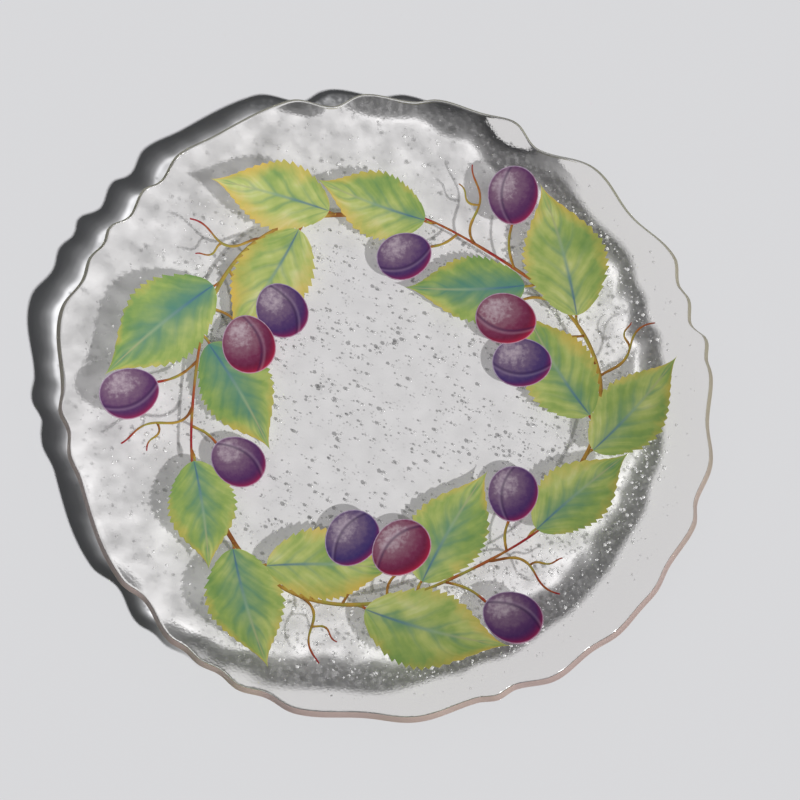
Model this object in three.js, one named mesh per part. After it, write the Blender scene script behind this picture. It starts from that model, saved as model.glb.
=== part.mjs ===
// A round plate of seeded glass: one sheet, cut to an uneven wavy outline and slumped into a shallow dish.
// Millimetres, +Z up. The origin is the middle of the flat foot that the plate stands on.
import * as THREE from "three";

// Driving dimensions.
const RADIUS = 135; // mean radius of the cut outline
const THICKNESS = 5.4; // of the sheet over the foot
const EDGE_THICKNESS = 4.8; // of the sheet at its outline, where the hot glass drew thinner
const FOOT_RADIUS = 44; // of the flat part of the underside
const RIM_LIFT = 17; // rise of the underside from the foot to the mean radius
const DISH_POWER = 2.2; // how late the underside turns up: 2 would be a parabola
const EDGE_LEAN = 1.7; // how far the cut face leans inwards from its lower corner to its upper one
const CORNER = 1.1; // radius of the fire-polished corners of the cut face

// The wavy outline, crest and dip in turn: angle in degrees from +X, and how far the edge
// stands outside the mean radius there.
const WAVES = [
  [3.5, 0.5], [6, -0.5], [9.5, 1], [13.5, -3.5], [18, -1], [21, -2.5], [26, 1], [37.5, -3.5],
  [48, 0], [59.5, -6], [66, 0], [72, -1.2], [80, 0.2], [85, -1.8], [94, 1], [99.5, -2.5],
  [107.5, 3.6], [122, 2.2], [129.5, 3.8], [135.5, 0], [138.5, 2.2], [144, -0.7], [148, 3], [151, 1.2],
  [154.5, 3], [158.5, 1.6], [165, 5], [180, -1.3], [183, -0.5], [187.5, -3.7], [191.5, -2.7], [197, -4.8],
  [217, -2.2], [222, -5], [231, -0.3], [233.5, -1.2], [237, 0], [240.5, -1], [245, 1.2], [249.5, -0.3],
  [255, 2.3], [266.5, -0.5], [275, 1.7], [286, -1.6], [289.5, 0], [292.5, -1.5], [300, 2.6], [307, 0.9],
  [313, 2.8], [318.5, 2.2], [322, 2.6], [327.5, 1], [335.5, 2.8], [340, 0.1], [346.5, 2], [355, -1.4],
];

// Fineness of the facets.
const SEGMENTS = 240; // round the plate
const SLOPE_RINGS = 6; // up the slope, on each face
const CORNER_STEPS = 2; // round each corner of the cut face

const FULL_TURN = 360;

// How far the edge stands outside the mean radius at an angle in degrees: an eased step between
// each crest and dip, so that every wave is round.
function edgeReach(degrees) {
  const turned = (degrees + FULL_TURN) % FULL_TURN;
  const after = WAVES.findIndex(([angle]) => angle > turned);
  const next = after < 0 ? 0 : after;
  const [fromAngle, fromReach] = WAVES.at(next - 1);
  const [toAngle, toReach] = WAVES[next];
  const span = (toAngle - fromAngle + FULL_TURN) % FULL_TURN;
  const along = ((turned - fromAngle + FULL_TURN) % FULL_TURN) / span;
  return fromReach + ((toReach - fromReach) * (1 - Math.cos(Math.PI * along))) / 2;
}

// Share of the way from the foot's edge, 0, to the mean radius, 1.
function slopeShare(radius) {
  return Math.max(0, radius - FOOT_RADIUS) / (RADIUS - FOOT_RADIUS);
}

// Height of the underside at a radius.
function dishHeight(radius) {
  return RIM_LIFT * slopeShare(radius) ** DISH_POWER;
}

// Thickness of the sheet at a radius, measured upwards.
function sheetThickness(radius) {
  return THREE.MathUtils.lerp(THICKNESS, EDGE_THICKNESS, Math.min(1, slopeShare(radius)));
}

// Points round one corner of the cut face, from one direction to another, in degrees from outwards.
function cornerPoints(centreRadius, centreHeight, fromDegrees, toDegrees) {
  return Array.from({ length: CORNER_STEPS + 1 }, (_, step) => {
    const turn = THREE.MathUtils.degToRad(
      THREE.MathUtils.lerp(fromDegrees, toDegrees, step / CORNER_STEPS),
    );
    return new THREE.Vector2(
      centreRadius + CORNER * Math.cos(turn),
      centreHeight + CORNER * Math.sin(turn),
    );
  });
}

// The sheet's section before it is bent: x is the radius and y the height above the underside.
function sheetSection() {
  const lowerCorner = cornerPoints(RADIUS - CORNER, CORNER, -90, 0);
  const upperCorner = cornerPoints(RADIUS - EDGE_LEAN - CORNER, EDGE_THICKNESS - CORNER, 0, 90);
  const slopeEnd = RADIUS - EDGE_LEAN - CORNER;
  const ringRadii = Array.from({ length: SLOPE_RINGS }, (_, ring) =>
    THREE.MathUtils.lerp(FOOT_RADIUS, slopeEnd, ring / SLOPE_RINGS),
  );
  const underside = ringRadii.map((radius) => new THREE.Vector2(radius, 0));
  const topSide = ringRadii.map((radius) => new THREE.Vector2(radius, sheetThickness(radius)));
  return [
    new THREE.Vector2(0, 0),
    ...underside,
    ...lowerCorner,
    ...upperCorner,
    ...topSide.reverse(),
    new THREE.Vector2(0, THICKNESS),
  ];
}

// The plate: the flat round sheet is turned, stretched out to its waves and bent up into the dish.
function plateGeometry() {
  const geometry = new THREE.LatheGeometry(sheetSection(), SEGMENTS);
  geometry.rotateX(Math.PI / 2);
  const position = geometry.getAttribute("position");
  for (let i = 0; i < position.count; i++) {
    const x = position.getX(i);
    const y = position.getY(i);
    const flatRadius = Math.hypot(x, y);
    if (flatRadius <= FOOT_RADIUS) continue;
    const degrees = THREE.MathUtils.radToDeg(Math.atan2(y, x));
    const radius = flatRadius + edgeReach(degrees) * slopeShare(flatRadius) ** 2;
    position.setXY(i, (x * radius) / flatRadius, (y * radius) / flatRadius);
    position.setZ(i, position.getZ(i) + dishHeight(radius));
  }
  geometry.computeVertexNormals();
  return geometry;
}

const seededGlass = new THREE.MeshStandardMaterial({
  color: 0xe9ebe8,
  roughness: 0.06,
  metalness: 0,
  transparent: true,
  opacity: 0.35,
});

const plate = new THREE.Mesh(plateGeometry(), seededGlass);
plate.name = "glass_plate";

const part = new THREE.Group();
part.add(plate);

export default part;
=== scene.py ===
"""Looks of a round seeded-glass plate that carries a fired enamel wreath of plum sprigs.

The plate is one slumped sheet of clear glass with a wavy cut edge and fine seeds inside it. The wreath is
painted on its upper face in three like sprigs, each with a twig, leaves and plums as thin raised films.
Sizes are metres in Blender, and are written here as millimetres times MM.
"""

import logging
import math
import random
from dataclasses import dataclass
from enum import Enum

import bpy
import numpy as np
from mathutils import Matrix, Vector

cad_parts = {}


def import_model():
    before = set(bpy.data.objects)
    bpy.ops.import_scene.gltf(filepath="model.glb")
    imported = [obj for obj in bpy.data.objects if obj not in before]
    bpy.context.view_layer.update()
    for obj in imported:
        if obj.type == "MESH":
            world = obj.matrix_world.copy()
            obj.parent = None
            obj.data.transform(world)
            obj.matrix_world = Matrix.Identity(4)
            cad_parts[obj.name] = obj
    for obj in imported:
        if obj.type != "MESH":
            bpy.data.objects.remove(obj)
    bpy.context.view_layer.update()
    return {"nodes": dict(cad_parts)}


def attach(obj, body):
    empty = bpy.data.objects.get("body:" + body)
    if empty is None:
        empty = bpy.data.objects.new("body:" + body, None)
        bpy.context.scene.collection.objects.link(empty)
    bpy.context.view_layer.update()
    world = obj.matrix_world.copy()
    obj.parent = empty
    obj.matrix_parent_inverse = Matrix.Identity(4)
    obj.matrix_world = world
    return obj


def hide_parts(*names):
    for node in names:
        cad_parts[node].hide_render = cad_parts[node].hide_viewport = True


Tree = bpy.types.NodeTree
Socket = bpy.types.NodeSocket

LOG = logging.getLogger("glass_plate")

MM = 0.001
FULL_TURN = 2 * math.pi
PLATE_NODE = "glass_plate"
BODY = "root"
TOUCH = 0.01 * MM  # points nearer than this are at one place
SOFT_GROUP = "drawn_by_heat"  # vertices that ripple
KEY_ANGLE = -37.0  # degrees from +X to the key light, which the marks of light on the glass also follow
SPRIGS = 3
FIRST_SPRIG = math.radians(100)
SMOOTH_WITHIN = math.radians(40)  # sharper edges of a film stay edges
NOISE_MEAN = 0.5  # of what a noise texture gives


def linear(srgb_hex: str) -> tuple[float, float, float, float]:
    """Turns an sRGB colour into the linear one that a shader takes.

    Args:
        srgb_hex: six hex digits after a hash sign, such as "#7a5c2e".

    Returns:
        Linear red, green and blue, and an alpha of 1.
    """
    shares = [int(srgb_hex[i : i + 2], 16) / 255 for i in (1, 3, 5)]
    lit = [c / 12.92 if c <= 0.04045 else ((c + 0.055) / 1.055) ** 2.4 for c in shares]
    return lit[0], lit[1], lit[2], 1.0


def add_node(
    tree: Tree,
    kind: str,
    inputs: dict | None = None,
    output: str | None = None,
    stops: tuple = (),
    **settings: object,
) -> Socket | None:
    """Adds one shader node with its settings, plain values and links.

    Args:
        tree: the node tree of a material or world.
        kind: the node's type name in Blender, after ShaderNode.
        inputs: for each input, by name or number, a value, an sRGB colour, or the output that feeds it.
        output: the name of the output to give, or None for the first that the settings leave open.
        stops: a ramp's stops in order, each a place from 0 to 1 and an sRGB colour, or a grey as a number.
        **settings: the node's own properties, such as operation.

    Returns:
        The output, or None for a node without one.
    """
    node = tree.nodes.new(f"ShaderNode{kind}")
    for name, value in settings.items():
        setattr(node, name, value)
    for key, value in (inputs or {}).items():
        if isinstance(value, Socket):
            tree.links.new(value, node.inputs[key])
        else:
            node.inputs[key].default_value = linear(value) if isinstance(value, str) else value
    if stops:
        elements = node.color_ramp.elements
        while len(elements) < len(stops):
            elements.new(1.0)
        for element, (place, colour) in zip(elements, stops):
            element.position = place
            element.color = linear(colour) if isinstance(colour, str) else (colour, colour, colour, 1.0)
    if output is not None:
        return node.outputs[output]
    return next((socket for socket in node.outputs if socket.enabled), None)


def weigh(tree: Tree, base: Socket, *parts: tuple[Socket, float]) -> Socket:
    """Adds other outputs to one, each times its weight.

    Args:
        tree: the material's node tree.
        base: the output to start from.
        *parts: each further output and its weight.

    Returns:
        The sum.
    """
    for part, weight in parts:
        base = add_node(tree, "Math", {0: part, 1: weight, 2: base}, operation="MULTIPLY_ADD")
    return base


def new_material(name: str) -> tuple[bpy.types.Material, Tree]:
    """Starts an empty node material.

    Args:
        name: the material's name, for what the real one is and how it was made.

    Returns:
        The material and its node tree.
    """
    material = bpy.data.materials.new(name)
    material.use_nodes = True
    material.node_tree.nodes.clear()
    return material, material.node_tree


def select_only(piece: bpy.types.Object, *others: bpy.types.Object) -> None:
    """Selects one object as the active one, with any others, and nothing else.

    Args:
        piece: the object to make active.
        *others: further objects to select.
    """
    bpy.ops.object.select_all(action="DESELECT")
    for item in (piece, *others):
        item.select_set(True)
    bpy.context.view_layer.objects.active = piece


def apply_modifiers(piece: bpy.types.Object) -> None:
    """Applies all modifiers of a piece, in order.

    Args:
        piece: the object that has the modifiers.
    """
    select_only(piece)
    for modifier in list(piece.modifiers):
        bpy.ops.object.modifier_apply(modifier=modifier.name)


def join_pieces(name: str, pieces: list[bpy.types.Object]) -> bpy.types.Object:
    """Joins several objects into one.

    Args:
        name: the joined object's name.
        pieces: the objects, of which the first stays.

    Returns:
        The joined object.
    """
    select_only(*pieces)
    bpy.ops.object.join()
    joined = bpy.context.active_object
    joined.name = name
    joined.data.name = name
    return joined


def read_points(mesh: bpy.types.Mesh) -> np.ndarray:
    """Reads a mesh's vertices as rows of x, y and z.

    Args:
        mesh: the mesh to read.

    Returns:
        One row for each vertex.
    """
    flat = np.empty(len(mesh.vertices) * 3)
    mesh.vertices.foreach_get("co", flat)
    return flat.reshape(-1, 3)


def write_points(mesh: bpy.types.Mesh, points: np.ndarray) -> None:
    """Moves a mesh's vertices to rows of x, y and z."""
    mesh.vertices.foreach_set("co", points.ravel())
    mesh.update()


def turn_flat(x: np.ndarray, y: np.ndarray, turn: float) -> np.ndarray:
    """Turns points of a plane about its origin.

    Args:
        x: each point's x.
        y: each point's y.
        turn: the angle, in radians.

    Returns:
        One row of x and y for each point.
    """
    cosine, sine = math.cos(turn), math.sin(turn)
    return np.column_stack([x * cosine - y * sine, x * sine + y * cosine])


def write_attribute(mesh: bpy.types.Mesh, name: str, values: np.ndarray) -> None:
    """Stores one number for each vertex, for a material to read.

    Args:
        mesh: the mesh that gets the attribute.
        name: the attribute's name.
        values: one number for each vertex.
    """
    attribute = mesh.attributes.new(name, "FLOAT", "POINT")
    attribute.data.foreach_set("value", np.asarray(values, dtype=np.float32))


class Slot(Enum):
    """Material slots of the record."""

    GLASS = "seeded_glass"
    LEAF = "leaf_enamel"
    FRUIT = "fruit_enamel"
    TWIG = "twig_enamel"


class PlateFace(Enum):
    """Material slots on the plate's own mesh, in order."""

    SHEET = 0
    CUT_EDGE = 1
    CORNER = 2
    MILKY_SEED = 3
    CLEAR_SEED = 4


class Film(Enum):
    """How far a coat of fired enamel stands up from the glass: later coats lie over earlier ones."""

    TWIG = 0.10 * MM
    LEAF = 0.15 * MM
    FRUIT = 0.30 * MM


FILM_SINK = 0.03 * MM  # the enamel is fused this far into the glass
COAT_STEP = 0.015 * MM  # each further leaf or plum of a sprig lies this much over the last


@dataclass(frozen=True)
class ShadeStation:
    """The rim's shade at one angle round the plate, in degrees from +X: how far it reaches in from the edge,
    and the share of lamp light that still leaks through it."""

    angle: float
    width: float
    leak: float


SHADE_STATIONS = (
    ShadeStation(-150, 8.5 * MM, 0.0),
    ShadeStation(-130, 7 * MM, 0.0),
    ShadeStation(-116, 12 * MM, 0.2),
    ShadeStation(-104, 23 * MM, 0.28),
    ShadeStation(-85, 25 * MM, 0.25),
    ShadeStation(-60, 27 * MM, 0.2),
    ShadeStation(-35, 28 * MM, 0.2),
    ShadeStation(-12, 21 * MM, 0.2),
    ShadeStation(45, 17 * MM, 0.2),
    ShadeStation(65, 15 * MM, 0.2),
    ShadeStation(95, 6 * MM, 0.3),
    ShadeStation(115, 6.5 * MM, 0.0),
    ShadeStation(165, 7.8 * MM, 0.0),
)

# Light across the rim's shade, by half the depth into it: dark at the edge, then a bright line, then even.
SHADE_STEPS = ((0.0, 0.01), (0.2, 0.05), (0.32, 0.15), (0.43, 0.4), (0.52, 1.3), (0.6, 1.08), (1.0, 0.98))


@dataclass(frozen=True)
class ClearGlass:
    """Soda-lime glass, slumped and fire-polished: colourless, sharp gloss and a faint grain underneath.

    Light from the lamps, and light that has come off a matt surface, goes straight through in the share that
    lamp_share gives. Everything else bends and mirrors as in real glass.
    """

    name: str = "clear_glass_fire_polished"
    tint: str = "#fffdfb"
    ior: float = 1.47
    roughness: float = 0.04
    clearness: float = 1.0
    lamps_through: float = 0.95

    def colour(self, tree: Tree) -> Socket | str:
        """Gives the glass's own colour."""
        return self.tint

    def lamp_share(self, tree: Tree) -> Socket | tuple:
        """Gives the share of lamp light that each face lets through, as a colour."""
        return (self.lamps_through, self.lamps_through, self.lamps_through, 1.0)

    def relief(self, tree: Tree) -> Socket | None:
        """Gives the normal of the surface's fine relief, if it has one."""
        return None

    def make(self) -> bpy.types.Material:
        """Makes the material.

        Returns:
            The glass material.
        """
        material, tree = new_material(self.name)
        body = {
            "Base Color": self.colour(tree),
            "Roughness": self.roughness,
            "IOR": self.ior,
            "Transmission Weight": self.clearness,
        }
        normal = self.relief(tree)
        if normal is not None:
            body["Normal"] = normal
        glass = add_node(tree, "BsdfPrincipled", body)
        lamps = add_node(tree, "BsdfTransparent", {"Color": self.lamp_share(tree)})
        from_matt = add_node(tree, "LightPath", output="Is Diffuse Ray")
        from_lamp = add_node(tree, "LightPath", output="Is Shadow Ray")
        matt_light = add_node(tree, "MixShader", {0: from_matt, 1: glass, 2: lamps})
        lamp_light = add_node(tree, "MixShader", {0: from_lamp, 1: matt_light, 2: lamps})
        add_node(tree, "OutputMaterial", {"Surface": lamp_light})
        return material


@dataclass(frozen=True)
class SheetGlass(ClearGlass):
    """The plate's two faces. The steep rim throws lamp light aside: its shadow is dark, with a bright line
    along the inner side where that light lands. The underside has the grain of the kiln shelf."""

    name: str = "clear_glass_slumped_sheet"
    wander: float = 0.34
    wander_length: float = 17 * MM
    drift_span: tuple[float, float] = (0.3, 0.7)
    mottle_length: float = 10 * MM
    calm_within: float = 70 * MM
    mottled_beyond: float = 122 * MM
    calm_mottle: float = 0.3
    rim_mottle: float = 1.7
    sand_length: float = 1.4 * MM
    sand_span: tuple[float, float] = (0.48, 0.7)
    dull_sand: float = 0.65
    bright_sand: float = 2.2
    grain_length: float = 1.0 * MM
    grain_depth: float = 0.16 * MM
    upper_grain: float = 0.2

    def lamp_share(self, tree: Tree) -> Socket | tuple:
        """Gives the share of lamp light that comes through. The upper face lets all light in.

        Args:
            tree: the material's node tree.

        Returns:
            The output that holds the share.
        """
        place = add_node(tree, "TexCoord", output="Object")
        shades = add_node(tree, "Attribute", output="Fac", attribute_name="shades")
        light = {0: self.shade(tree, place), 1: self.mottle(tree, place)}
        broad = add_node(tree, "Math", light, operation="MULTIPLY")
        total = add_node(tree, "Math", {0: broad, 1: self.leak(tree, place)}, operation="MAXIMUM")
        lost = add_node(tree, "Math", {0: total, 1: 1.0}, operation="SUBTRACT")
        return add_node(tree, "Math", {0: lost, 1: shades, 2: 1.0}, operation="MULTIPLY_ADD")

    def shade(self, tree: Tree, place: Socket) -> Socket:
        """Gives the light by the depth into the rim's shade, 0 at the edge and 1 where the shade ends.

        Args:
            tree: the material's node tree.
            place: the point on the plate, in metres, by which the shade wanders in and out.

        Returns:
            The output that holds the light.
        """
        depth = add_node(tree, "Attribute", output="Fac", attribute_name="shade_depth")
        drift = add_node(tree, "TexNoise", {"Vector": place, "Scale": 1 / self.wander_length, "Detail": 1.0})
        least, most = self.drift_span
        reach = self.wander / 2
        swing = add_node(
            tree,
            "MapRange",
            {"Value": drift, "From Min": least, "From Max": most, "To Min": -reach, "To Max": reach},
        )
        shifted = add_node(tree, "Math", {0: depth, 1: swing}, operation="ADD")
        half = add_node(tree, "Math", {0: shifted, 1: 0.5}, operation="MULTIPLY", use_clamp=True)
        return add_node(tree, "ValToRGB", {"Fac": half}, stops=SHADE_STEPS)

    def mottle(self, tree: Tree, place: Socket) -> Socket:
        """Gives the clouding of the light, faint in the middle and strong near the rim.

        Args:
            tree: the material's node tree.
            place: the point on the plate, in metres.

        Returns:
            The output that holds the clouding, about 1.
        """
        clouds = add_node(tree, "TexNoise", {"Vector": place, "Scale": 1 / self.mottle_length, "Detail": 4.0})
        off_mean = add_node(tree, "Math", {0: clouds, 1: NOISE_MEAN}, operation="SUBTRACT")
        strength = add_node(
            tree,
            "MapRange",
            {
                "Value": add_node(tree, "VectorMath", {0: place}, operation="LENGTH"),
                "From Min": self.calm_within,
                "From Max": self.mottled_beyond,
                "To Min": self.calm_mottle,
                "To Max": self.rim_mottle,
            },
        )
        return add_node(tree, "Math", {0: off_mean, 1: strength, 2: 1.0}, operation="MULTIPLY_ADD")

    def leak(self, tree: Tree, place: Socket) -> Socket:
        """Gives the light that leaks through the shade, as a sparkle as fine as sand.

        Args:
            tree: the material's node tree.
            place: the point on the plate, in metres.

        Returns:
            The output that holds the light.
        """
        least = add_node(tree, "Attribute", output="Fac", attribute_name="least_light")
        sand = add_node(tree, "TexNoise", {"Vector": place, "Scale": 1 / self.sand_length, "Detail": 2.0})
        sparkle = add_node(
            tree,
            "MapRange",
            {
                "Value": sand,
                "From Min": self.sand_span[0],
                "From Max": self.sand_span[1],
                "To Min": self.dull_sand,
                "To Max": self.bright_sand,
            },
        )
        return add_node(tree, "Math", {0: least, 1: sparkle}, operation="MULTIPLY")

    def relief(self, tree: Tree) -> Socket | None:
        """Gives the normal of the grain, deep on the underside and faint on the upper face.

        Args:
            tree: the material's node tree.

        Returns:
            The output that holds the normal.
        """
        place = add_node(tree, "TexCoord", output="Object")
        underside = add_node(tree, "Attribute", output="Fac", attribute_name="underside")
        strength = add_node(tree, "MapRange", {"Value": underside, "To Min": self.upper_grain, "To Max": 1.0})
        grain = add_node(tree, "TexNoise", {"Vector": place, "Scale": 1 / self.grain_length, "Detail": 2.0})
        relief = {"Strength": strength, "Distance": self.grain_depth, "Height": grain}
        return add_node(tree, "Bump", relief)


@dataclass(frozen=True)
class CornerGlass(SheetGlass):
    """The upper corner of the cut, melted round: soft enough to catch the key light on each wave."""

    name: str = "clear_glass_melted_corner"
    roughness: float = 0.13


@dataclass(frozen=True)
class CutEdgeGlass(ClearGlass):
    """The cut face, ground and fire-polished: half frosted, beige to olive in painted refraction of the glass
    behind it.
    """

    name: str = "clear_glass_ground_edge"
    warm: str = "#c3aaa2"
    olive: str = "#a9a685"
    roughness: float = 0.30
    clearness: float = 0.45
    lamps_through: float = 0.02
    change_length: float = 45 * MM
    change_reach: float = 150 * MM
    warm_below: float = -60 * MM
    olive_above: float = 60 * MM

    def colour(self, tree: Tree) -> Socket | str:
        """Gives the edge's painted refraction, warm at the front and olive at the back, with a slow drift
        between.

        Args:
            tree: the material's node tree.

        Returns:
            The output that holds the colour.
        """
        place = add_node(tree, "TexCoord", output="Object")
        # painted refraction: the colour goes by front and back, as the edge shows the glass and light behind
        # it
        back = add_node(tree, "SeparateXYZ", {"Vector": place}, output="Y")
        drift = add_node(tree, "TexNoise", {"Vector": place, "Scale": 1 / self.change_length, "Detail": 2.0})
        middle = self.change_reach / 2
        share = add_node(
            tree,
            "MapRange",
            {
                "Value": weigh(tree, back, (drift, self.change_reach)),
                "From Min": self.warm_below + middle,
                "From Max": self.olive_above + middle,
            },
        )
        return add_node(tree, "ValToRGB", {"Fac": share}, stops=((0.0, self.warm), (1.0, self.olive)))

    def lamp_share(self, tree: Tree) -> Socket | tuple:
        """Gives the share of lamp light that comes through: all where it enters, little where it leaves."""
        shades = add_node(tree, "Attribute", output="Fac", attribute_name="shades")
        return add_node(tree, "MapRange", {"Value": shades, "To Min": 1.0, "To Max": self.lamps_through})


@dataclass(frozen=True)
class SeedWallGlass(ClearGlass):
    """The wall of a seed, a bubble that the melt kept. In the slope it is milky, so it is pale over the
    rim's shade."""

    name: str = "clear_glass_milky_seed"
    tint: str = "#fafafa"
    ior: float = 1.2
    roughness: float = 0.55
    clearness: float = 0.6
    lamps_through: float = 0.72


@dataclass(frozen=True)
class ClearSeedGlass(SeedWallGlass):
    """The wall of a seed in the flat middle, which shows most by the dark dot of its shadow."""

    name: str = "clear_glass_clear_seed"
    tint: str = "#ececec"
    ior: float = 1.12
    roughness: float = 0.3
    clearness: float = 0.9
    lamps_through: float = 0.68


@dataclass(frozen=True)
class Enamel:
    """Glass enamel painted by brush and fired on: satin sheen, with low ridges from the bristles.

    Its film is thin, so lamp light that comes through each face of it softens its shadow.
    """

    name: str
    roughness: float = 0.54
    gloss_swing: float = 0.08
    ior: float = 1.5
    sheen: float = 0.3
    bristle_length: float = 0.9 * MM  # coarser than real bristles, so that the ridges show
    bristle_depth: float = 0.03 * MM
    bristle_strength: float = 0.6
    lamps_through: float = 0.70

    def colour(self, tree: Tree) -> Socket:
        """Gives the painted colour. Each enamel has its own."""
        raise NotImplementedError

    def make(self) -> bpy.types.Material:
        """Makes the material.

        Returns:
            The enamel material.
        """
        material, tree = new_material(self.name)
        place = add_node(tree, "TexCoord", output="Object")
        bristles = add_node(
            tree, "TexNoise", {"Vector": place, "Scale": 1 / self.bristle_length, "Detail": 3.0}
        )
        ridges = add_node(
            tree,
            "Bump",
            {"Strength": self.bristle_strength, "Distance": self.bristle_depth, "Height": bristles},
        )
        gloss = add_node(
            tree,
            "MapRange",
            {
                "Value": bristles,
                "To Min": self.roughness - self.gloss_swing,
                "To Max": self.roughness + self.gloss_swing,
            },
        )
        paint = add_node(
            tree,
            "BsdfPrincipled",
            {
                "Base Color": self.colour(tree),
                "Roughness": gloss,
                "IOR": self.ior,
                "Specular IOR Level": self.sheen,
                "Normal": ridges,
            },
        )
        share = (self.lamps_through, self.lamps_through, self.lamps_through, 1.0)
        lamps = add_node(tree, "BsdfTransparent", {"Color": share})
        from_lamp = add_node(tree, "LightPath", output="Is Shadow Ray")
        film = add_node(tree, "MixShader", {0: from_lamp, 1: paint, 2: lamps})
        add_node(tree, "OutputMaterial", {"Surface": film})
        return material


@dataclass(frozen=True)
class LeafChart:
    """What a leaf's washes are drawn from: the way along and across it, the way from the midrib and from the
    next side vein, the side veins' count so far, the leaf's own tone, and soft blotches."""

    along: Socket
    across: Socket
    off_rib: Socket
    to_vein: Socket
    veins: Socket
    tone: Socket
    blotch: Socket


@dataclass(frozen=True)
class Wash:
    """A wash of one colour over a leaf. Its depth is the way from the midrib, with the way along, the tone
    and the blotches added by weight. Between the two depths its cover goes from the first to the second."""

    colour: str
    along: float
    tone: float
    blotch: float
    depths: tuple[float, float]
    cover: tuple[float, float]


COOL_WASH = Wash("#457c78", 0.45, 0.85, 0.9, (0.6, 1.5), (0.8, 0.0))  # along the midrib, near the stalk
OCHRE_WASH = Wash("#c9a64a", 0.55, 0.5, 1.5, (1.95, 2.7), (0.0, 0.85))  # at the margin and the tip
LEAF_GREENS = ((0.0, "#6a8a4c"), (0.35, "#8ba056"), (0.65, "#abb56b"), (1.0, "#cccd9b"))
MIDRIB_COLOURS = ((0.0, "#2f4c80"), (0.22, "#4a6f88"), (0.5, "#8aa27f"), (1.0, "#b9a36a"))


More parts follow.
